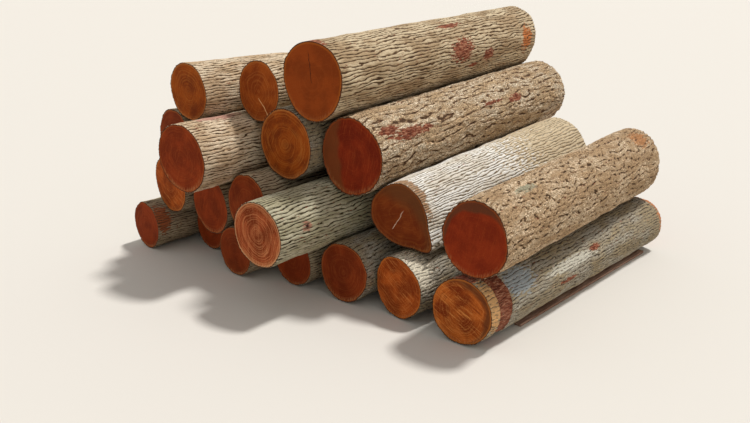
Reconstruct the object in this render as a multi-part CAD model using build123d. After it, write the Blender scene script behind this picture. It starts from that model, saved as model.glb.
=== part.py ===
from build123d import *
import os
from itertools import combinations
import numpy as np

# A heap of sawn hardwood logs, lying side by side in four courses that step up to the left,
# with one thin sawn batten on the ground beside the outer log.
# The logs run along Y with their nearer sawn ends towards -Y. X runs across the heap and Z is up.
# The origin is at the middle of the heap's footprint, on the ground. All sizes are in millimetres.

# The two sizes that every log is given as shares of
log_length = 2120
log_diameter = 400

seat_clearance = 0.3          # left between a log and what it rests on
seat_slack = 0.05             # by which that clearance may fall short
outline_points = 72           # points of the closed curve that draws a log's outline
taper_step = 12               # about how much a log's diameter changes from one outline to the next
saw_allowance = 60            # how far past its square end a slanting saw cut may reach
most_moves = 120              # small moves in which a log comes to rest

# The bark ring left standing at the sawn end of the corner log, and the stripped band behind it
ring_width = 75
stripped_width = 120
bark_thickness = 11

# The batten
batten_width = 45
batten_thickness = 18
batten_length = 1600
batten_set_back = 400


class Log:
    """A sawn log: a tapering stem whose outline is drawn in polar form about its axis.

    Diameters and the spur are given as shares of log_diameter, the set-back and length as shares of
    log_length.
    """

    def __init__(self, name, front, rear, set_back, length=1.0, oval=0.0, oval_turn=0,
                 lobe=0.0, lobe_turn=0, spur=0, spur_turn=0, spur_spread=20,
                 front_saw=(0, 0), rear_saw=(0, 0)):
        self.name = name
        self.front = front * log_diameter           # diameter at the nearer end
        self.rear = rear * log_diameter             # diameter at the far end
        self.set_back = set_back * log_length       # Y of the nearer end
        self.length = length * log_length
        self.oval = oval                  # share by which the outline is longer one way than the other
        self.oval_turn = np.radians(oval_turn)
        self.lobe = lobe                  # share of the three-sided swelling
        self.lobe_turn = np.radians(lobe_turn)
        self.spur = spur * log_diameter   # height of the one corner of the butt
        self.spur_turn = np.radians(spur_turn)
        self.spur_spread = np.radians(spur_spread)
        self.front_saw = front_saw        # degrees the saw cut turns from square: sideways, upwards
        self.rear_saw = rear_saw
        self.ends = np.zeros(4)           # X and Z of the axis at the front, X and Z at the rear

    def reach(self, angle, station):
        """Distance from the axis to the bark, at an angle, at a Y station."""
        share = (station - self.set_back) / self.length
        radius = (self.front + (self.rear - self.front) * share) / 2
        wave = 1 + self.oval * np.cos(2 * (angle - self.oval_turn))
        wave = wave + self.lobe * np.cos(3 * (angle - self.lobe_turn))
        # The spur is highest at the butt and runs out at the far end
        off = (angle - self.spur_turn + np.pi) % (2 * np.pi) - np.pi
        return radius * wave + self.spur * (1 - share) * np.exp(-(off / self.spur_spread) ** 2)

    def axis(self, station):
        """X and Z of the axis at a Y station."""
        share = (station - self.set_back) / self.length
        front_x, front_z, rear_x, rear_z = self.ends
        return front_x + (rear_x - front_x) * share, front_z + (rear_z - front_z) * share

    def outline(self, station, turns=(0, 0), side=-1, shaved=0):
        """The flat face across the stem at a Y station, with the bark shaved off to a depth if asked.

        Turns are the degrees the saw cut turns from square, sideways and upwards; side is -1 for a
        cut that faces the nearer end and 1 for one that faces the far end.
        """
        x, z = self.axis(station)
        sideways, upwards = np.tan(np.radians(turns))
        points = []
        for angle in np.linspace(0, 2 * np.pi, outline_points, endpoint=False):
            y = station
            for _ in range(5):
                axis_x, axis_z = self.axis(y)
                out = self.reach(angle, y) - shaved
                across = axis_x + out * np.cos(angle) - x
                up = axis_z + out * np.sin(angle) - z
                y = station - side * (sideways * across + upwards * up)
            points.append((x + across, y, z + up))
        return make_face(Spline(*points, periodic=True))

    def solid(self):
        """The whole log, sawn at both ends, with more outlines along it the more it tapers."""
        lengths = max(1, round(abs(self.rear - self.front) / taper_step))
        stations = np.linspace(self.set_back, self.set_back + self.length, lengths + 1)
        front = self.outline(stations[0], self.front_saw)
        between = [self.outline(station) for station in stations[1:-1]]
        rear = self.outline(stations[-1], self.rear_saw, 1)
        return loft([front, *between, rear], ruled=True)


all_angles = np.linspace(0, 2 * np.pi, 300, endpoint=False)


def smallest_gaps(log, other):
    """Smallest gap between two logs over each quarter of their shared length."""
    near = max(log.set_back, other.set_back) - saw_allowance
    far = min(log.set_back + log.length, other.set_back + other.length) + saw_allowance
    stations = np.linspace(near, far, 4 * 4)[:, None]
    x, z = log.axis(stations)
    out = log.reach(all_angles, stations)
    other_x, other_z = other.axis(stations)
    across = x + out * np.cos(all_angles) - other_x
    up = z + out * np.sin(all_angles) - other_z
    gaps = np.hypot(across, up) - other.reach(np.arctan2(up, across), stations)
    return gaps.reshape(4, -1).min(axis=1)


def room(log, others):
    """Spare room between a log and each of the others, over each quarter of their length."""
    return np.concatenate([smallest_gaps(log, other) for other in others]) - seat_clearance


def slopes(measure, log):
    """How each measured value changes as each end of a log's axis moves in X or Z."""
    nudge = 0.01
    columns = []
    for index in range(4):
        log.ends[index] += nudge
        moved = measure()
        log.ends[index] -= 2 * nudge
        columns.append((moved - measure()) / (2 * nudge))
        log.ends[index] += nudge
    return np.array(columns).T


def lie_on_ground(log, neighbour=None, front_gap=0, rear_gap=0, rear_shift=0):
    """Lays a log on the ground, to the left of its neighbour with a gap at each end.

    The first log has no neighbour, and its rear end lies to the right by rear_shift. Gaps and the
    shift are shares of log_diameter.
    """
    far = log.set_back + log.length
    stand = [-np.min(log.reach(all_angles, end) * np.sin(all_angles)) for end in (log.set_back, far)]
    log.ends = np.array([0.0, stand[0], rear_shift * log_diameter, stand[1]])
    if neighbour is not None:
        log.ends[[0, 2]] = neighbour.ends[[0, 2]] - (log.front + neighbour.front) / 2

        def misses():
            return room(log, [neighbour])[[0, -1]] - np.array([front_gap, rear_gap]) * log_diameter

        for _ in range(8):
            log.ends[[0, 2]] -= np.linalg.solve(slopes(misses, log)[:, [0, 2]], misses())
    laid.append(log)
    return log


def lay_down(log, right, left, front_x=None):
    """Lowers a log between two others, to the lowest place near them that leaves every laid log clear.

    Where front_x is given, the front end of the axis is held at that X, a share of log_diameter.
    """
    log.ends = (right.ends + left.ends) / 2 + np.array([0, 1, 0, 1]) * (log.front + right.front) * 0.45
    free = np.array([0, 1, 2, 3])
    if front_x is not None:
        log.ends[0] = front_x * log_diameter
        free = free[1:]
    near = [other for other in laid
            if np.hypot(*(log.ends - other.ends)[:2]) < (log.front + other.front) * 0.8]

    def too_high(height, spare):
        return height + 1000 * np.sum(np.maximum(0, -spare - seat_slack), axis=-1)

    reach = log_diameter / 8
    height = np.array([0, 1, 0, 1])[free]
    for _ in range(most_moves):
        # The best small move is at a corner of the allowed region, so every corner is tried
        now = room(log, near)
        within = now < 3 * reach
        walls = slopes(lambda: room(log, near), log)[within][:, free]
        edges = np.vstack([walls, np.eye(len(free)), -np.eye(len(free))])
        limits = np.concatenate([now[within], np.full(2 * len(free), reach)])
        picks = np.array(list(combinations(range(len(edges)), len(free))))
        picks = picks[np.abs(np.linalg.det(edges[picks])) > 1e-6]
        moves = np.linalg.solve(edges[picks], -limits[picks][..., None])[..., 0]
        moves = moves[np.abs(moves).max(axis=1) <= reach * 1.001]
        best = moves[np.argmin(too_high(moves @ height, moves @ edges.T + limits))]
        before = too_high(log.ends[free] @ height, now)
        log.ends[free] += best
        if too_high(log.ends[free] @ height, room(log, near)) >= before - 0.02 * reach:
            log.ends[free] -= best
            reach = reach / 2
        if reach < 0.002:
            break
    laid.append(log)
    return log


laid = []

# Ground course, from the right
corner = lie_on_ground(Log("log_corner", 0.955, 0.915, 0.183, oval=0.02, oval_turn=100,
                           front_saw=(6, 2)), rear_shift=0.21)
ground_2 = lie_on_ground(Log("log_ground_2", 0.945, 0.935, 0.181, oval=0.03, oval_turn=100,
                             lobe=0.02, front_saw=(-3, 0)), corner, 0.15, 0.085)
ground_3 = lie_on_ground(Log("log_ground_3", 0.95, 1.025, 0.149, oval=0.03, oval_turn=70,
                             lobe=0.02, lobe_turn=20, front_saw=(4, 0)), ground_2, 0.003, 0.2)
ground_4 = lie_on_ground(Log("log_ground_4", 0.863, 0.9, 0.128, oval=0.02, oval_turn=20),
                        ground_3, 0.115, 0.07)
ground_5 = lie_on_ground(Log("log_ground_5", 0.85, 0.875, 0.054, oval=0.03, oval_turn=60),
                        ground_4, 0.095, 0.05)
ground_6 = lie_on_ground(Log("log_ground_6", 0.812, 0.825, 0.131, oval=0.02, oval_turn=90),
                        ground_5, 0.455, 0.5)
ground_7 = lie_on_ground(Log("log_ground_7", 0.85, 0.838, -0.01, oval=0.03, oval_turn=90),
                        ground_6, 0.08, 0.22)

# Second course
pale = lay_down(Log("log_pale", 0.995, 1.35, 0.236, 0.888, oval=0.04, oval_turn=155, lobe=0.04,
                    lobe_turn=-40, spur=0.175, spur_turn=-38, spur_spread=16, front_saw=(6, 0)),
                ground_2, ground_3, -1.355)
askew = lay_down(Log("log_askew", 1.075, 1.225, 0.193, oval=0.03, oval_turn=80, lobe=0.02, lobe_turn=80,
                     front_saw=(2, 0)), corner, ground_2, 0.105)
jutting = lay_down(Log("log_jutting", 0.988, 1.075, -0.061, oval=0.02, oval_turn=110, front_saw=(5, 0)),
                   ground_3, ground_4)
second_4 = lay_down(Log("log_second_4", 1.012, 1.038, 0.053, oval=0.03, oval_turn=70), ground_4, ground_5)
second_5 = lay_down(Log("log_second_5", 1.0, 1.025, 0.059, oval=0.03, oval_turn=100), ground_5, ground_6)
second_6 = lay_down(Log("log_second_6", 0.975, 0.963, 0.043, oval=0.05, oval_turn=110), ground_6, ground_7)

# Third course
third_1 = lay_down(Log("log_third_1", 1.185, 1.225, 0.191, 1.066, oval=0.02, oval_turn=110, lobe=0.02,
                       front_saw=(5, 0)), pale, jutting)
third_2 = lay_down(Log("log_third_2", 1.09, 1.115, 0.133, oval=0.03, oval_turn=100, front_saw=(6, 0)),
                   jutting, second_4)
third_3 = lay_down(Log("log_third_3", 1.06, 1.05, -0.071, oval=0.04, oval_turn=115, front_saw=(8, 0)),
                   second_4, second_5)
third_4 = lay_down(Log("log_third_4", 0.95, 0.95, 0.03, oval=0.03, oval_turn=90), second_5, second_6)

# Top course
top = lay_down(Log("log_top", 1.147, 1.19, 0.148, 1.09, oval=0.03, oval_turn=100, lobe=0.025,
                   lobe_turn=30, front_saw=(7, 0)), third_1, third_2)
top_2 = lay_down(Log("log_top_2", 0.955, 0.953, 0.158, oval=0.03, oval_turn=80, front_saw=(4, 0)),
                 third_2, third_3)
top_3 = lay_down(Log("log_top_3", 0.907, 0.905, 0.035, oval=0.05, oval_turn=110, front_saw=(6, 0)),
                 third_3, third_4)

logs = [corner, ground_2, ground_3, ground_4, ground_5, ground_6, ground_7,
        askew, pale, jutting, second_4, second_5, second_6,
        third_1, third_2, third_3, third_4, top, top_2, top_3]


def corner_log():
    """The corner log: a ring of bark at the sawn end, a stripped band behind it, then bark again."""
    ring_end = corner.set_back + ring_width
    band_end = ring_end + stripped_width
    ring = loft([corner.outline(corner.set_back, corner.front_saw), corner.outline(ring_end)], ruled=True)
    band = loft([corner.outline(ring_end, shaved=bark_thickness),
                 corner.outline(band_end, shaved=bark_thickness)], ruled=True)
    rest = loft([corner.outline(band_end), corner.outline(corner.set_back + corner.length)], ruled=True)
    return ring + band + rest


def batten():
    """The thin sawn batten, on the ground under the flank of the corner log."""
    radius = max(corner.front, corner.rear) / 2
    inner = np.sqrt(radius ** 2 - (radius - batten_thickness) ** 2) + seat_clearance
    near_x, _ = corner.axis(corner.set_back + batten_set_back)
    far_x, _ = corner.axis(corner.set_back + batten_set_back + batten_length)
    turn = -np.degrees(np.arctan((far_x - near_x) / batten_length))
    bar = Box(batten_width, batten_length, batten_thickness, align=(Align.MIN, Align.MIN, Align.MIN))
    place = Location((near_x + inner, corner.set_back + batten_set_back, 0), (0, 0, turn))
    return place * bar


shapes = {log.name: corner_log() if log is corner else log.solid() for log in logs}
shapes["edge_batten"] = batten()

# The heap is set down with the middle of its footprint on the origin
box = Compound(list(shapes.values())).bounding_box()
middle = Location((-(box.min.X + box.max.X) / 2, -(box.min.Y + box.max.Y) / 2, 0))

os.makedirs("parts", exist_ok=True)
for name, shape in shapes.items():
    export_step(middle * shape, f"parts/{name}.step")
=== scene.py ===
import math
import bpy
import numpy as np
from mathutils import Matrix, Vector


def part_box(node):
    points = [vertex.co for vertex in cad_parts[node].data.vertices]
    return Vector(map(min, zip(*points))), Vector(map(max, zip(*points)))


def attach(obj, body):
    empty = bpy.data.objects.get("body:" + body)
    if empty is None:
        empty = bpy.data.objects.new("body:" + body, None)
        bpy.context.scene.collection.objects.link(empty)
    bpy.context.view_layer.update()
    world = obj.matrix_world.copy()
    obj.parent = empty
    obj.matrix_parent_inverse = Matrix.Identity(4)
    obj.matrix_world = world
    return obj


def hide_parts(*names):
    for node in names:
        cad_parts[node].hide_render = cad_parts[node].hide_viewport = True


# A heap of sawn hardwood logs with the bark on, and a thin sawn batten on the ground beside them.
# Each log of the frame is dressed by a stem that is rolled up from a flat sheet, closed with two
# sawn faces, and furrowed inwards from the frame's own surface. All sizes are in metres.

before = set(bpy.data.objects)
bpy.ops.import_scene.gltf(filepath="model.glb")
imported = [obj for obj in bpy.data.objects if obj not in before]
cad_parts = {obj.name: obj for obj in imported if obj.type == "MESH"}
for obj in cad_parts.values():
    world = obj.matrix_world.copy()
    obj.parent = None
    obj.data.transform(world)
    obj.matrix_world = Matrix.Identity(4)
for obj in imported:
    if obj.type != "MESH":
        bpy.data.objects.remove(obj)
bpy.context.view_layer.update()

# The camera, as the photograph was taken, measured from the corner log's nearer end
camera_right = 2.094          # of the corner log's left side
camera_before = 2.797         # its nearer end
camera_height = 1.92
camera_turn = 41.965          # degrees to the left of straight along the logs
camera_pitch = 19.009         # degrees down
camera_roll = 0.641
camera_lens = 33.59           # millimetres
sensor_width = 36             # millimetres
camera_far = 300              # how far it sees

# The light: an even world and one soft sun, high and a little behind the heap, to its right
world_strength = 0.5
sun_strength = 2.6
sun_width = 7                 # degrees
sun_turns = (-23, 9, 0)       # degrees about X, Y and Z
floor_size = 160

# How finely a log is divided: the size of its faces, fine where the log shows and coarse elsewhere
fine_around = 0.0056
fine_along = 0.017
coarse_around = 0.010
coarse_along = 0.032
face_rings = (0, 0.2, 0.45, 0.7, 0.88, 0.955, 0.985)   # of a sawn end, as shares out to its rim
end_reach = 0.065             # a frame log's sawn faces lie within this of its tips
end_facing = 0.8              # and look along it by at least this share
merge_distance = 0.0001       # between the two edges of the sheet that a log is rolled from
log_crease = 50               # degrees above which an edge of a log stays sharp

# The bark
usual_girth = 1.25            # round a log of the middle size
swell_depth = 0.006           # of the broad hollows in the bark
torn_depth = 0.005            # of the places where bark is torn off
step_width = 0.003            # of a step in the bark
bark_start = 0.9              # where the bark begins on a sawn end, as a share out to its rim
bark_full = 0.985             # where it is as thick as it gets

# The corner log: a ring of bark at its sawn end, and a stripped band behind it
ring_width = 0.075
stripped_width = 0.12
stripped_depth = 0.011

# The batten
batten_bevel = 0.002
batten_cuts = 90              # along its length
batten_crease = 40            # degrees
batten_tip = 0.1              # length of each end, from which its direction is read
long_edge = 0.5               # a longer edge than this runs along it
saw_mark_size = 0.05
saw_mark_depth = 0.0025


def colour(code):
    """A linear colour from an sRGB hex code."""
    parts = [int(code[i:i + 2], 16) / 255 for i in (1, 3, 5)]
    linear = [p / 12.92 if p <= 0.04045 else ((p + 0.055) / 1.055) ** 2.4 for p in parts]
    return (*linear, 1)


def add(tree, kind, inputs=(), output=0, **settings):
    """Adds a node with its settings, its input values and its links, and gives one of its outputs.

    The inputs are a row in the node's own order, or are named.
    """
    node = tree.nodes.new(kind)
    for name, value in settings.items():
        setattr(node, name, value)
    for name, value in (inputs if isinstance(inputs, dict) else dict(enumerate(inputs))).items():
        if isinstance(value, bpy.types.NodeSocket):
            tree.links.new(value, node.inputs[name])
        else:
            node.inputs[name].default_value = value
    return node.outputs[output] if node.outputs else None


def where(tree, most, *steps):
    """The most where every value is past its step, and 0 where one has not come to its step."""
    for value, start, end in steps:
        most = add(tree, "ShaderNodeMapRange", (value, start, end, 0.0, most),
                   interpolation_type="SMOOTHSTEP")
    return most


def lay(tree, under, over, value, start, end, most=1.0):
    """One colour laid over another, from none of it at a value's start to its most at the end."""
    over = colour(over) if isinstance(over, str) else over
    share = where(tree, most, (value, start, end))
    return add(tree, "ShaderNodeMix", {0: share, 6: under, 7: over}, 2, data_type="RGBA")


def grain(tree, place, across, along, detail=2.0, roughness=0.5, output=0):
    """A random pattern whose grains have a real size, across the log and along it."""
    scaled = add(tree, "ShaderNodeVectorMath", (place, (1 / across, 1 / along, 1 / across)),
                 operation="MULTIPLY")
    inputs = {"Vector": scaled, "Scale": 1.0, "Detail": detail, "Roughness": roughness}
    return add(tree, "ShaderNodeTexNoise", inputs, output)


def summed(tree, *parts):
    """The sum of patterns, each by its share."""
    total = 0.0
    for pattern, share in parts:
        total = add(tree, "ShaderNodeMath", (pattern, share, total), operation="MULTIPLY_ADD")
    return total


def new_material(name, roughness, specular):
    """A material with a Principled shader: the material, its tree and the shader."""
    material = bpy.data.materials.new(name)
    material.use_nodes = True
    tree = material.node_tree
    tree.nodes.clear()
    inputs = {"Roughness": roughness, "Specular IOR Level": specular}
    surface = add(tree, "ShaderNodeBsdfPrincipled", inputs)
    add(tree, "ShaderNodeOutputMaterial", {"Surface": surface})
    return material, tree, surface.node


# Bark. Ridges run along the log, bend together, join and part, and the furrows between them are
# cut inwards.

class Bark:
    """One kind of bark: the size of its ridges and plates, and its colours."""

    def __init__(self, name, ridges, along, depth, plates, wander, broken,
                 crest, flank, furrow, tint):
        self.name = name
        self.ridges = ridges          # round a log
        self.across = usual_girth / ridges
        self.along = along            # length over which a ridge bends
        self.depth = depth
        self.plates = plates          # how far the ridges are broken into plates
        self.wander = wander          # how far the ridges stray, in their own width
        self.broken = broken          # how ragged the ridges are
        self.crest = crest
        self.flank = flank
        self.furrow = furrow
        self.tint = tint              # a second colour of the crests, in broad patches


def bark_pattern(tree, bark, place, outward):
    """How deep the bark is furrowed at a place, and the number of its plate, each from 0 to 1."""
    right = add(tree, "ShaderNodeSeparateXYZ", (outward,))
    turn = add(tree, "ShaderNodeMath", (right.node.outputs["Z"], right), operation="ARCTAN2")
    phase = add(tree, "ShaderNodeMath", (turn, bark.ridges), operation="MULTIPLY")

    # Ridges bend together over several of their widths, and each has kinks of its own
    bend = grain(tree, place, bark.across * 3.5, bark.along * 1.3, 1.0)
    kink = grain(tree, place, bark.across * 1.2, bark.along * 0.4, 1.0)
    for stray, far in ((bend, bark.wander * 2), (kink, 1.1)):
        stray = add(tree, "ShaderNodeMath", (stray, 0.5), operation="SUBTRACT")
        phase = add(tree, "ShaderNodeMath", (stray, far * 2 * math.pi, phase),
                    operation="MULTIPLY_ADD")
    wave = add(tree, "ShaderNodeMath", (phase,), operation="SINE")
    ragged = grain(tree, place, bark.across * 0.5, bark.along * 0.25, 2.0, 0.6)
    ragged = add(tree, "ShaderNodeMath", (ragged, 0.5), operation="SUBTRACT")
    level = summed(tree, (wave, 0.5), (ragged, bark.broken))
    shallow = 0.1 * (bark.broken - 1)
    furrow = where(tree, 1.0, (level, 0.02 + shallow, 0.6 + shallow))

    # Cracks run across between the ridges and part the bark into plates, each at its own height
    strayed = grain(tree, place, 0.05, 0.05, output="Color")
    strayed = add(tree, "ShaderNodeVectorMath", (strayed, (1.6, 1.6, 1.6)), operation="MULTIPLY")
    per_metre = (1 / (bark.across * 1.7), 1 / (bark.along * 0.5), 1 / (bark.across * 1.7))
    cells = add(tree, "ShaderNodeVectorMath", (place, per_metre, strayed),
                operation="MULTIPLY_ADD")
    edge = add(tree, "ShaderNodeTexVoronoi", {"Vector": cells}, feature="DISTANCE_TO_EDGE")
    crack = where(tree, bark.plates, (edge, 0.13, 0.0))
    cell = add(tree, "ShaderNodeTexVoronoi", {"Vector": cells}, "Color", feature="F1")
    plate = add(tree, "ShaderNodeSeparateXYZ", (cell,))
    sunk = add(tree, "ShaderNodeMath", (plate, 0.5 * bark.plates), operation="MULTIPLY")
    for deeper in (crack, sunk):
        furrow = add(tree, "ShaderNodeMath", (furrow, deeper), operation="MAXIMUM")
    return furrow, plate


def bark_relief(bark):
    """Geometry nodes that cut the furrows into the stem."""
    tree = bpy.data.node_groups.new(bark.name + "_relief", "GeometryNodeTree")
    for way in ("INPUT", "OUTPUT"):
        tree.interface.new_socket("Geometry", in_out=way, socket_type="NodeSocketGeometry")
    stem = add(tree, "NodeGroupInput")
    place = add(tree, "GeometryNodeInputPosition")
    outward, barked, drop = [
        add(tree, "GeometryNodeInputNamedAttribute", (name,), data_type=kind)
        for name, kind in (("outward", "FLOAT_VECTOR"), ("barked", "FLOAT"), ("drop", "FLOAT"))]
    furrow = bark_pattern(tree, bark, place, outward)[0]
    rough = grain(tree, place, 0.03, 0.06)
    swell = where(tree, swell_depth, (grain(tree, place, 0.11, 0.22, 1.0), 0.35, 0.65))
    cut = summed(tree, (furrow, bark.depth), (rough, 0.5 * bark.depth), (swell, 1.0))
    cut = summed(tree, (cut, barked), (drop, 1.0))
    inwards = summed(tree, (cut, -1.0))
    offset = add(tree, "ShaderNodeVectorMath", {0: outward, "Scale": inwards}, operation="SCALE")
    worn = add(tree, "GeometryNodeSetPosition", {"Geometry": stem, "Offset": offset})
    add(tree, "NodeGroupOutput", (worn,))
    return tree


def bark_material(bark):
    """Dry bark: matt, pale crests, furrows dark partly by painted shade, and bare red wood where
    torn.
    """
    material, tree, shader = new_material(bark.name, 0.9, 0.2)
    kept = {name: add(tree, "ShaderNodeAttribute", attribute_name=name).node.outputs
            for name in ("unworn", "outward", "stripped", "stain")}
    place = kept["unworn"]["Vector"]
    furrow, plate = bark_pattern(tree, bark, place, kept["outward"]["Vector"])

    # Streaks 7 mm wide and grit of 4 mm: both are coarser than on a real log, so that they show
    streaks = grain(tree, place, 0.007, 0.05, 3.0, 0.65)
    grit = grain(tree, place, 0.004, 0.008)
    look = lay(tree, colour(bark.crest), bark.tint, grain(tree, place, 0.09, 0.25, 3.0), 0.4, 0.62)
    look = lay(tree, look, bark.flank, plate, 0.3, 1.0, bark.plates * 0.7)
    look = lay(tree, look, bark.flank, streaks, 0.45, 0.72, 0.6)
    look = lay(tree, look, bark.furrow, grit, 0.5, 0.75, 0.25)
    # Flanks and furrows darken with depth: partly the bark's own colour, partly painted shade
    look = lay(tree, look, bark.flank, furrow, 0.15, 0.7)
    look = lay(tree, look, bark.furrow, furrow, 0.55, 1.0)

    # Stains and torn places have ragged edges, and the stains leave the furrows dark with their
    # painted shade
    edge = add(tree, "ShaderNodeMath", (grain(tree, place, 0.012, 0.035, 3.0, 0.65), 0.5),
               operation="SUBTRACT")
    stained = summed(tree, (kept["stain"]["Alpha"], 1.0), (edge, 2.8))
    cover = add(tree, "ShaderNodeMapRange", (furrow, 0.4, 0.9, 1.0, 0.2),
                interpolation_type="SMOOTHSTEP")
    look = lay(tree, look, kept["stain"]["Color"], stained, 0.35, 0.65, cover)
    fibres = grain(tree, place, 0.006, 0.04, 3.0, 0.65)
    bare = lay(tree, colour("#4b2216"), "#8e4930", fibres, 0.36, 0.5)
    bare = lay(tree, bare, "#c18a6a", fibres, 0.5, 0.64)
    torn = summed(tree, (kept["stripped"]["Fac"], 1.0), (edge, 2.8))
    look = lay(tree, look, bare, torn, 0.4, 0.55)
    tree.links.new(look, shader.inputs["Base Color"])
    height = summed(tree, (furrow, -1.0), (streaks, 0.6), (grit, 0.3))
    bump = add(tree, "ShaderNodeBump", {"Strength": 0.9, "Distance": bark.depth, "Height": height})
    tree.links.new(bump, shader.inputs["Normal"])
    return material


class SawnFace:
    """One look of a sawn end: its wood, how plain its rings and scores are, and what marks it."""

    def __init__(self, name, heart, dark, pale, rings, ring_count, scores, fray, rim, saw_turn,
                 lines=(), shades=()):
        self.name = name
        self.heart = heart
        self.dark = dark
        self.pale = pale
        self.rings = rings            # strength of the growth rings
        self.ring_count = ring_count
        self.scores = scores          # strength of the marks of the saw
        self.fray = fray              # strength of the torn fibres at the lower rim
        self.rim = rim                # colour of the sapwood, just under the bark
        self.saw_turn = saw_turn      # degrees from level at which the saw passed
        self.lines = lines            # cracks and scratches of the front face
        self.shades = shades          # parts of the front face painted darker, mostly as shade


class FaceShade:
    """Part of a face painted darker, mostly shade: all past a reach from a point off the pith."""

    def __init__(self, across, up, reach, soft, code):
        self.across = across
        self.up = up
        self.reach = reach
        self.soft = soft              # how far its border is blurred to either side
        self.code = code


class FaceLine:
    """A crack or scratch on a sawn face: a line that starts off the pith and runs at an angle."""

    def __init__(self, across, up, turn, length, width, code):
        self.across = across
        self.up = up
        self.turn = turn
        self.length = length
        self.width = width
        self.code = code


def sawn_material(face):
    """End grain of a dense red hardwood, as the chain saw leaves it: matt, ringed and scored."""
    material, tree, shader = new_material(face.name, 0.85, 0.12)
    growth = add(tree, "ShaderNodeAttribute", output="Fac", attribute_name="growth")
    front = add(tree, "ShaderNodeAttribute", output="Fac", attribute_name="front")
    place = add(tree, "ShaderNodeTexCoord", output="Object")
    section = place.node.outputs["UV"]
    cloud = grain(tree, place, 1 / 9, 1 / 9, 4.0)
    look = lay(tree, colour(face.dark), face.heart, cloud, 0.36, 0.64)

    # Rings follow the outline, waver and vary in strength. Real ones are too fine to show.
    waver = grain(tree, place, 1 / 7, 1 / 7)
    waver = add(tree, "ShaderNodeMath", (waver, 0.5), operation="SUBTRACT")
    from_pith = summed(tree, (growth, face.ring_count), (waver, 0.3 * face.ring_count))
    ring = add(tree, "ShaderNodeCombineXYZ", (from_pith,))
    ring = add(tree, "ShaderNodeVectorMath", (place, (6.0, 6.0, 6.0), ring),
               operation="MULTIPLY_ADD")
    ring = grain(tree, ring, 1, 1, 3.0, 0.65)
    look = lay(tree, look, face.dark, ring, 0.5, 0.66, face.rings)
    look = lay(tree, look, face.pale, ring, 0.5, 0.36, face.rings * 0.8)

    # The saw scores the face in nearly straight lines 8 mm apart, and pulls out short fibres
    passes = add(tree, "ShaderNodeVectorRotate",
                 {"Vector": section, "Angle": math.radians(-face.saw_turn)}, rotation_type="Z_AXIS")
    passes = add(tree, "ShaderNodeVectorMath", (passes, (7.0, 120.0, 1.0), place),
                 operation="MULTIPLY_ADD")
    score = grain(tree, passes, 1, 1, 3.0, 0.65)
    look = lay(tree, look, face.pale, score, 0.54, 0.72, face.scores)
    look = lay(tree, look, face.dark, score, 0.46, 0.3, face.scores)
    fleck = grain(tree, place, 0.006, 0.006)
    look = lay(tree, look, face.pale, fleck, 0.55, 0.75, 0.35)
    look = lay(tree, look, face.dark, fleck, 0.45, 0.25, 0.35)
    # Darker parts of the front face with soft borders, mostly painted shade
    for shade in face.shades:
        off = add(tree, "ShaderNodeVectorMath", (section, (shade.across, shade.up, 0.0)), "Value",
                  operation="DISTANCE")
        off = summed(tree, (off, 1.0), (waver, 0.075))
        look = lay(tree, look, shade.code, off, shade.reach - shade.soft, shade.reach + shade.soft,
                   summed(tree, (front, 0.75)))
    for line in face.lines:
        drawn = face_line(tree, section, front, line)
        look = add(tree, "ShaderNodeMix", {0: drawn, 6: look, 7: colour(line.code)}, 2,
                   data_type="RGBA")

    # Torn fibres 6 mm wide at the lower rim, the paler sapwood, then the cut edge of the bark
    height = add(tree, "ShaderNodeSeparateXYZ", (section,), "Y")
    hair = grain(tree, section, 1 / 160, 1 / 25)
    torn = where(tree, face.fray, (height, -0.05, -0.15), (growth, 0.78, 0.95), (hair, 0.45, 0.6))
    look = add(tree, "ShaderNodeMix", {0: torn, 6: look, 7: colour("#d39a63")}, 2, data_type="RGBA")
    rim = summed(tree, (growth, 1.0), (waver, 0.036))
    look = lay(tree, look, face.rim, rim, 0.89, 0.94, 0.6)
    look = lay(tree, look, "#4f2f1e", rim, 0.958, 0.978)
    tree.links.new(look, shader.inputs["Base Color"])
    relief = summed(tree, (score, 0.7), (ring, 0.3), (torn, 0.5))
    bump = add(tree, "ShaderNodeBump", {"Strength": 0.6, "Distance": 0.003, "Height": relief})
    tree.links.new(bump, shader.inputs["Normal"])
    return material


def face_line(tree, section, front, line):
    """1 on a crack or scratch of the front face and 0 elsewhere."""
    place = add(tree, "ShaderNodeVectorMath", (section, (line.across, line.up, 0.0)),
                operation="SUBTRACT")
    place = add(tree, "ShaderNodeVectorRotate",
                {"Vector": place, "Angle": math.radians(-line.turn)}, rotation_type="Z_AXIS")
    along = add(tree, "ShaderNodeSeparateXYZ", (place,))
    stray = grain(tree, section, 1 / 18, 1 / 18, 3.0)
    stray = add(tree, "ShaderNodeMath", (stray, 0.5), operation="SUBTRACT")
    off = summed(tree, (along.node.outputs["Y"], 1.0), (stray, 0.03))
    off = add(tree, "ShaderNodeMath", (off,), operation="ABSOLUTE")
    return where(tree, front, (off, line.width, line.width * 0.4), (along, 0.0, 0.01),
                 (along, line.length, line.length * 0.8))


# The forms of the logs

def mesh_points(piece):
    """The vertices of a piece."""
    points = np.zeros(len(piece.data.vertices) * 3)
    piece.data.vertices.foreach_get("co", points)
    return points.reshape(-1, 3)


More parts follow.
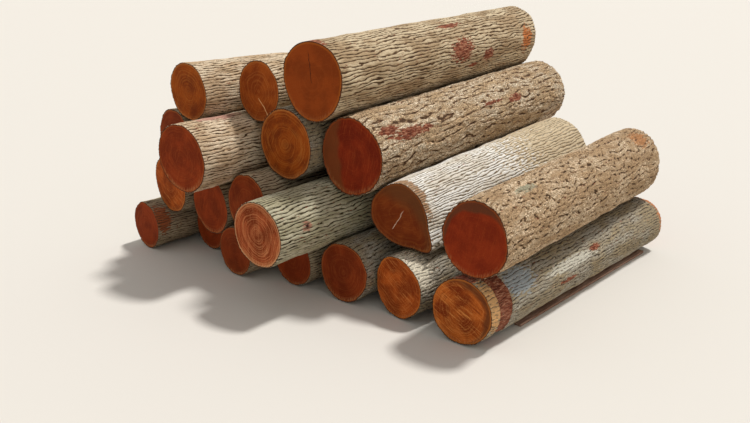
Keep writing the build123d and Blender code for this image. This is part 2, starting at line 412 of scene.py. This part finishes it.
class Outline:
    """The closed outline at one end of a frame log, in polar form about its middle."""

    def __init__(self, points):
        low = points.min(0)
        high = points.max(0)
        self.middle = np.array([(low[0] + high[0]) / 2, (low[2] + high[2]) / 2])
        off = points[:, [0, 2]] - self.middle
        turn = np.arctan2(off[:, 1], off[:, 0])
        order = np.argsort(turn)
        self.turn = turn[order]
        self.reach = np.hypot(off[:, 0], off[:, 1])[order]
        self.level = points[order, 1]

    def at(self, turn):
        """X, Y and Z of the outline at an angle."""
        reach = np.interp(turn, self.turn, self.reach, period=2 * np.pi)
        level = np.interp(turn, self.turn, self.level, period=2 * np.pi)
        return np.stack([self.middle[0] + reach * np.cos(turn), level,
                         self.middle[1] + reach * np.sin(turn)], -1)

    def pith(self):
        """The middle of the outline."""
        return np.array([self.middle[0], self.level.mean(), self.middle[1]])


def end_points(node, way):
    """The vertices of a frame log's sawn face: its front one for way -1, its rear one for way 1."""
    points = mesh_points(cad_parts[node])
    tip = (points[:, 1] * way).max()
    found = set()
    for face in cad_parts[node].data.polygons:
        if face.normal.y * way > end_facing and face.center.y * way > tip - end_reach:
            found.update(face.vertices)
    return points[sorted(found)]


def keep_values(piece, name, values):
    """Keeps a number, a vector or a colour for each vertex."""
    kinds = {1: ("FLOAT", "value"), 3: ("FLOAT_VECTOR", "vector"), 4: ("FLOAT_COLOR", "color")}
    kind, field = kinds[values.size // len(values)]
    layer = piece.data.attributes.new(name, kind, "POINT")
    layer.data.foreach_set(field, values.astype(np.float32).ravel())


class Patch:
    """A place on a log: how far along, the angle round it, half sizes, and a colour if a stain."""

    def __init__(self, along, turn, half_long, half_wide, code=None):
        self.along = along
        self.turn = math.radians(turn)
        self.half_long = half_long
        self.half_wide = half_wide
        self.code = code

    def share(self, along, turn, reach):
        """1 in the middle of the patch, a half at its edge and 0 outside."""
        wide = (turn - self.turn + np.pi) % (2 * np.pi) - np.pi
        off = np.hypot((along - self.along) / self.half_long, wide * reach / self.half_wide)
        return np.clip(1.5 - off, 0, 1)


class Step:
    """A length of a log where the bark is gone: where it starts and ends, and how deep it lies."""

    def __init__(self, start, end, depth):
        self.start = start
        self.end = end
        self.depth = depth


def roll_log(node, fine, steps):
    """A stem rolled up from a flat sheet to the frame log's outlines, and gathered at both ends."""
    front = Outline(end_points(node, -1))
    rear = Outline(end_points(node, 1))
    length = rear.level.mean() - front.level.mean()
    girth = 2 * np.pi * max(front.reach.mean(), rear.reach.mean())
    around = int(girth / (fine_around if fine else coarse_around))
    shares = np.linspace(0, 1, int(length / (fine_along if fine else coarse_along)))
    for step in steps:
        for edge in (step.start, step.end):
            shares = shares[np.abs(shares * length - edge) > 2 * step_width]
            sides = np.array([edge - step_width / 2, edge + step_width / 2])
            shares = np.append(shares, sides / length)
    shares = np.sort(shares)
    rings = np.array(face_rings)
    growth = np.concatenate([rings, np.ones(len(shares)), rings[::-1]])
    shares = np.concatenate([np.zeros(len(rings)), shares, np.ones(len(rings))])

    bpy.ops.object.select_all(action="DESELECT")
    bpy.ops.mesh.primitive_grid_add(x_subdivisions=around, y_subdivisions=len(shares) - 1, size=1)
    piece = bpy.context.object
    piece.name = node + "_bark"
    flat = mesh_points(piece)
    turn = (flat[:, 0] + 0.5) * 2 * np.pi
    row = np.rint((flat[:, 1] + 0.5) * (len(shares) - 1)).astype(int)
    growth = growth[row]
    share = shares[row][:, None]
    rim = front.at(turn) * (1 - share) + rear.at(turn) * share
    pith = front.pith() * (1 - share) + rear.pith() * share
    rolled = pith + (rim - pith) * growth[:, None]
    piece.data.vertices.foreach_set("co", rolled.ravel())
    return piece, rim - pith, growth, share[:, 0] * length


def describe_surface(piece, rim, growth, along, patches, steps):
    """Keeps on each vertex its share out to the rim, which way is out and where bark is missing."""
    turn = np.arctan2(rim[:, 2], rim[:, 0])
    reach = np.hypot(rim[:, 0], rim[:, 2])
    outward = np.stack([np.cos(turn), np.zeros(len(turn)), np.sin(turn)], -1)
    stripped = np.zeros(len(turn))
    stain = np.zeros((len(turn), 4))
    for patch in patches:
        share = patch.share(along, turn, reach)
        if patch.code is None:
            stripped = np.maximum(stripped, share)
        else:
            # Within its own edge a stain covers the ones before it
            more = share > np.minimum(stain[:, 3], 0.5)
            stain[more] = [*colour(patch.code)[:3], 0]
            stain[more, 3] = share[more]
    drop = torn_depth * stripped
    bare = stripped.copy()
    for step in steps:
        inside = (along > step.start) & (along < step.end)
        drop[inside] = step.depth
        bare[inside] = 1
    side = np.clip((growth - bark_start) / (bark_full - bark_start), 0, 1)
    keep_values(piece, "growth", growth)
    keep_values(piece, "front", (along < along.max() / 2).astype(float))
    keep_values(piece, "outward", outward)
    keep_values(piece, "unworn", mesh_points(piece))
    keep_values(piece, "stripped", bare)
    keep_values(piece, "stain", stain)
    keep_values(piece, "barked", side * (1 - bare))
    keep_values(piece, "drop", drop * side)

    # The map of a sawn face is the section itself, in metres from the pith
    corner = np.zeros(len(piece.data.loops), np.int32)
    piece.data.loops.foreach_get("vertex_index", corner)
    section = (rim * growth[:, None])[:, [0, 2]]
    piece.data.uv_layers[0].data.foreach_set("uv", section[corner].astype(np.float32).ravel())


def dress_log(node, bark, face, fine=True, patches=(), steps=()):
    """A finished log in place of the frame's plain one."""
    piece, rim, growth, along = roll_log(node, fine, steps)
    describe_surface(piece, rim, growth, along, patches, steps)
    piece.data.materials.append(barks[bark])
    piece.data.materials.append(faces[face])
    corner = np.zeros(len(piece.data.loops), np.int32)
    piece.data.loops.foreach_get("vertex_index", corner)
    on_face = growth[corner.reshape(-1, 4)].min(axis=1) < 1
    piece.data.polygons.foreach_set("material_index", on_face.astype(np.int32))
    bpy.ops.object.mode_set(mode="EDIT")
    bpy.ops.mesh.select_all(action="SELECT")
    bpy.ops.mesh.remove_doubles(threshold=merge_distance)
    bpy.ops.mesh.normals_make_consistent(inside=False)
    bpy.ops.object.mode_set(mode="OBJECT")
    relief = piece.modifiers.new("relief", "NODES")
    relief.node_group = reliefs[bark]
    bpy.ops.object.modifier_apply(modifier="relief")
    bpy.ops.object.shade_smooth_by_angle(angle=math.radians(log_crease))
    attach(piece, "root")
    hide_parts(node)


# Name, ridges, length of a bend, depth, plates, wander and raggedness, then the colours of the
# crests, the flanks, the furrows (both partly painted shade in the hollows) and the tint
bark_kinds = [
    Bark("bark_grey", 58, 0.17, 0.006, 0.3, 1.0, 1.0, "#c9b797", "#927d61", "#453526", "#b5a184"),
    Bark("bark_tan", 62, 0.19, 0.006, 0.2, 1.2, 1.0, "#e2cda9", "#957959", "#4a3523", "#bba07c"),
    Bark("bark_warm", 56, 0.17, 0.006, 0.3, 1.1, 1.1, "#f8e3c3", "#b09170", "#54402c", "#d2b590"),
    Bark("bark_silver", 72, 0.15, 0.005, 0.15, 1.1, 0.9, "#fdf9f0", "#cfc3ae", "#7d6d55", "#e9dfce"),
    Bark("bark_flaky", 30, 0.23, 0.009, 0.9, 1.5, 1.5, "#ffeccd", "#c6a47d", "#4d3624", "#e2c399"),
    Bark("bark_brown", 32, 0.15, 0.009, 0.8, 1.6, 1.9, "#f6dcb8", "#b9966f", "#4a3624", "#d0ae86"),
    Bark("bark_green", 54, 0.17, 0.006, 0.25, 1.0, 1.0, "#cfc7aa", "#948a6e", "#38301f", "#b6ad8c"),
    Bark("bark_slate", 52, 0.12, 0.006, 0.7, 1.0, 1.3, "#c9c0ae", "#958872", "#443b2f", "#bfa982"),
]

# Name, heart, dark and pale wood, rings and their count, scores, fray, rim and turn of the saw
face_kinds = [
    SawnFace("sawn_top", "#913f10", "#7e350b", "#a3531f", 0.15, 26, 0.15, 0.2, "#a85a1c", 15,
             lines=[FaceLine(0.0, -0.01, 97, 0.2, 0.0032, "#48210e")]),
    SawnFace("sawn_third", "#842a0d", "#6b1d07", "#9c441c", 0.25, 22, 0.5, 0.4, "#94451a", 80,
             # painted shade down the left edge of the face
             shades=[FaceShade(0.9, 0.1, 1.0, 0.02, "#6f3d1c")]),
    SawnFace("sawn_pale", "#853c14", "#6f2b0c", "#985424", 0.35, 26, 0.25, 0.2, "#945122", 20,
             lines=[FaceLine(-0.06, -0.1, 60, 0.16, 0.0024, "#dfbfa4")],
             # painted shade over the upper right part of the face
             shades=[FaceShade(-0.12, -0.2, 0.3, 0.05, "#643d20")]),
    SawnFace("sawn_askew", "#8d3010", "#78240a", "#a0461a", 0.15, 22, 0.25, 0.3, "#96481c", 75,
             # painted shade in a crescent at the top of the face
             shades=[FaceShade(0.02, -0.06, 0.215, 0.012, "#553621")]),
    SawnFace("sawn_corner", "#bd6022", "#7a2e08", "#dd8f48", 0.35, 24, 0.9, 0.4, "#c0702c", -28,
             # darker towards the right edge of the face
             shades=[FaceShade(-0.05, -0.02, 0.185, 0.015, "#4c2b19")]),
    SawnFace("sawn_scored", "#b3531a", "#7f3208", "#d07f40", 0.3, 24, 0.75, 0.4, "#c0702c", -32),
    SawnFace("sawn_jutting", "#a8502a", "#742c0c", "#d38a58", 0.8, 46, 0.35, 0.9, "#d9a273", 85),
    SawnFace("sawn_ringed", "#9b480f", "#722d07", "#b86e2c", 0.5, 28, 0.3, 0.3, "#b8743a", 60),
    SawnFace("sawn_orange", "#a04c16", "#81360c", "#bb6d33", 0.35, 24, 0.35, 0.3, "#b86c30", 55,
             lines=[FaceLine(-0.005, -0.04, -50, 0.17, 0.005, "#dfa66f")]),
    SawnFace("sawn_red", "#8b340f", "#712708", "#a14b1e", 0.3, 26, 0.4, 0.6, "#9b4d20", 70),
    SawnFace("sawn_umber", "#84330f", "#6a2507", "#9a4d22", 0.4, 32, 0.3, 0.7, "#a05a2c", 100),
]
barks = {bark.name: bark_material(bark) for bark in bark_kinds}
reliefs = {bark.name: bark_relief(bark) for bark in bark_kinds}
faces = {face.name: sawn_material(face) for face in face_kinds}

# The logs that show, with torn places and stains as the photograph has them, and then the rest
dress_log("log_top", "bark_tan", "sawn_top", patches=[
    Patch(1.21, 60, 0.13, 0.02), Patch(1.25, 12, 0.12, 0.08), Patch(1.60, -7, 0.07, 0.04),
    Patch(1.42, -20, 0.06, 0.015), Patch(0.0, 102, 0.06, 0.13),
    Patch(0.765, 75, 0.07, 0.008, "#3b2a1c"), Patch(2.17, 6, 0.07, 0.09, "#cc7a42")])
dress_log("log_third_1", "bark_flaky", "sawn_third", patches=[
    Patch(0.13, 44, 0.09, 0.03), Patch(0.29, 30, 0.16, 0.034), Patch(0.45, 29, 0.06, 0.022),
    Patch(1.22, 33, 0.10, 0.012), Patch(1.52, 28, 0.08, 0.03)])
dress_log("log_pale", "bark_silver", "sawn_pale", patches=[
    Patch(0.02, 70, 0.04, 0.2, "#b08a68"), Patch(1.8, 60, 0.75, 0.5, "#d3be9b")])
dress_log("log_askew", "bark_brown", "sawn_askew", patches=[
    Patch(0.38, 69, 0.11, 0.022, "#b3ad90"), Patch(1.95, 62, 0.1, 0.07, "#c98d5c")])
stripped_band = Step(ring_width, ring_width + stripped_width, stripped_depth)
dress_log("log_corner", "bark_slate", "sawn_corner", steps=[stripped_band], patches=[
    Patch(0.03, 25, 0.1, 0.16, "#efb97c"), Patch(0.03, 92, 0.08, 0.06, "#c26d55"),
    Patch(0.80, -2, 0.08, 0.014), Patch(1.15, 33, 0.06, 0.02),
    Patch(2.14, 45, 0.05, 0.2, "#dc8c55"), Patch(0.32, 44, 0.13, 0.085, "#b3babc"),
    Patch(0.87, 27, 0.28, 0.035, "#e3dcc9")])
dress_log("log_ground_2", "bark_slate", "sawn_scored", patches=[
    Patch(0.03, 58, 0.09, 0.16, "#f6ead0")])
dress_log("log_ground_3", "bark_slate", "sawn_umber")
dress_log("log_jutting", "bark_green", "sawn_jutting", patches=[
    Patch(0.202, 12, 0.035, 0.03, "#b07d66"), Patch(0.202, 12, 0.014, 0.012, "#3a211a")])
dress_log("log_third_2", "bark_slate", "sawn_ringed")
dress_log("log_third_3", "bark_warm", "sawn_red", patches=[Patch(0.29, 92, 0.16, 0.05, "#c99a86")])
dress_log("log_top_2", "bark_warm", "sawn_orange")
dress_log("log_top_3", "bark_warm", "sawn_ringed")
dress_log("log_ground_7", "bark_grey", "sawn_red", fine=False, patches=[
    Patch(0.05, 25, 0.06, 0.1, "#b0643c")])
dress_log("log_second_6", "bark_grey", "sawn_scored", fine=False)
for node in ("log_ground_4", "log_ground_6", "log_second_5"):
    dress_log(node, "bark_grey", "sawn_red", fine=False)
for node in ("log_ground_5", "log_second_4", "log_third_4"):
    dress_log(node, "bark_grey", "sawn_umber", fine=False)


def batten_material():
    """Rough-sawn red hardwood, left out: dull, greyed on its fibres, darker along the grain."""
    material, tree, shader = new_material("sawn_batten", 0.88, 0.15)
    place = add(tree, "ShaderNodeTexCoord", output="Object")
    fibres = grain(tree, place, 0.003, 0.09, 3.0, 0.6)
    cloud = grain(tree, place, 0.03, 0.25, 3.0)
    look = lay(tree, colour("#8f6d59"), "#a98874", cloud, 0.38, 0.62)
    look = lay(tree, look, "#5d3d2e", fibres, 0.52, 0.36, 0.7)
    look = lay(tree, look, "#c4a993", fibres, 0.54, 0.7, 0.6)
    tree.links.new(look, shader.inputs["Base Color"])
    bump = add(tree, "ShaderNodeBump", {"Strength": 0.5, "Distance": 0.002, "Height": fibres})
    tree.links.new(bump, shader.inputs["Normal"])
    return material


def sawn_batten():
    """The thin batten on the ground: worn edges and faces that the saw left a little uneven."""
    corners = mesh_points(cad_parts["edge_batten"])
    lowest = corners.min(0)
    highest = corners.max(0)
    near = corners[corners[:, 1] < lowest[1] + batten_tip]
    far = corners[corners[:, 1] > highest[1] - batten_tip]
    along = (far.min(0) + far.max(0) - near.min(0) - near.max(0))[:2]
    along = along / np.hypot(*along)
    length = np.ptp(corners[:, :2] @ along)
    width = np.ptp(corners[:, :2] @ np.array([along[1], -along[0]]))
    bpy.ops.object.select_all(action="DESELECT")
    bpy.ops.mesh.primitive_cube_add(
        size=1, location=(lowest + highest) / 2, rotation=(0, 0, math.atan2(-along[0], along[1])),
        scale=(width, length, highest[2] - lowest[2]))
    piece = bpy.context.object
    piece.name = "edge_batten_wood"
    bpy.ops.object.transform_apply(location=True, rotation=True, scale=True)
    bpy.ops.object.mode_set(mode="EDIT")
    bpy.ops.mesh.select_all(action="SELECT")
    bpy.ops.mesh.bevel(offset=batten_bevel, segments=2, affect="EDGES")
    bpy.ops.mesh.select_mode(type="EDGE")
    bpy.ops.mesh.select_all(action="DESELECT")
    bpy.ops.object.mode_set(mode="OBJECT")
    points = mesh_points(piece)
    for edge in piece.data.edges:
        first, second = edge.vertices
        edge.select = bool(abs(points[first][1] - points[second][1]) > long_edge)
    bpy.ops.object.mode_set(mode="EDIT")
    bpy.ops.mesh.subdivide(number_cuts=batten_cuts)
    bpy.ops.mesh.select_mode(type="VERT")
    bpy.ops.object.mode_set(mode="OBJECT")
    uneven = bpy.data.textures.new("uneven_saw", "CLOUDS")
    uneven.noise_scale = saw_mark_size
    worn = piece.modifiers.new("worn", "DISPLACE")
    worn.texture = uneven
    worn.strength = saw_mark_depth
    worn.mid_level = 1.0                       # the marks are cut inwards only
    bpy.ops.object.modifier_apply(modifier="worn")
    bpy.ops.object.shade_smooth_by_angle(angle=math.radians(batten_crease))
    piece.data.materials.append(batten_material())
    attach(piece, "root")
    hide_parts("edge_batten")


sawn_batten()


# The floor, the light and the camera

def pale_floor():
    """A plain pale floor that is white far from the heap."""
    bpy.ops.object.select_all(action="DESELECT")
    bpy.ops.mesh.primitive_plane_add(size=floor_size, location=(0, 0, 0))
    floor = bpy.context.object
    floor.name = "floor"
    material, tree, shader = new_material("pale_floor", 0.9, 0.5)
    shader.inputs["Base Color"].default_value = colour("#dcd6cc")
    floor.data.materials.append(material)


def studio_light():
    """An even world and one soft sun, high and a little behind the heap, before a pale backdrop."""
    world = bpy.data.worlds.new("studio")
    bpy.context.scene.world = world
    world.use_nodes = True
    tree = world.node_tree
    tree.nodes.clear()
    even = add(tree, "ShaderNodeBackground", {"Color": (1, 1, 1, 1), "Strength": world_strength})
    backdrop = add(tree, "ShaderNodeBackground", {"Color": colour("#f5eee3"), "Strength": 1.0})
    rays = add(tree, "ShaderNodeLightPath").node.outputs
    seen = 0.0
    for ray in ("Is Camera Ray", "Is Glossy Ray", "Is Transmission Ray"):
        seen = add(tree, "ShaderNodeMath", (seen, rays[ray]), operation="MAXIMUM")
    both = add(tree, "ShaderNodeMixShader", (seen, even, backdrop))
    add(tree, "ShaderNodeOutputWorld", {"Surface": both})
    sun = bpy.data.lights.new("sun", "SUN")
    sun.energy = sun_strength
    sun.angle = math.radians(sun_width)
    lamp = bpy.data.objects.new("sun", sun)
    lamp.rotation_euler = [math.radians(turn) for turn in sun_turns]
    bpy.context.scene.collection.objects.link(lamp)


def photograph_camera():
    """The camera where the photograph was taken."""
    low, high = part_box("log_corner")
    camera = bpy.data.cameras.new("camera")
    camera.sensor_width = sensor_width
    camera.lens = camera_lens
    camera.clip_end = camera_far
    holder = bpy.data.objects.new("camera", camera)
    holder.location = (low.x + camera_right, low.y - camera_before, camera_height)
    holder.rotation_euler = (math.radians(90 - camera_pitch), 0, math.radians(camera_turn))
    rolled = holder.rotation_euler.to_matrix() @ Matrix.Rotation(math.radians(camera_roll), 3, "Z")
    holder.rotation_euler = rolled.to_euler()
    bpy.context.scene.collection.objects.link(holder)
    bpy.context.scene.camera = holder


pale_floor()
studio_light()
photograph_camera()
bpy.context.scene.view_settings.view_transform = "Standard"
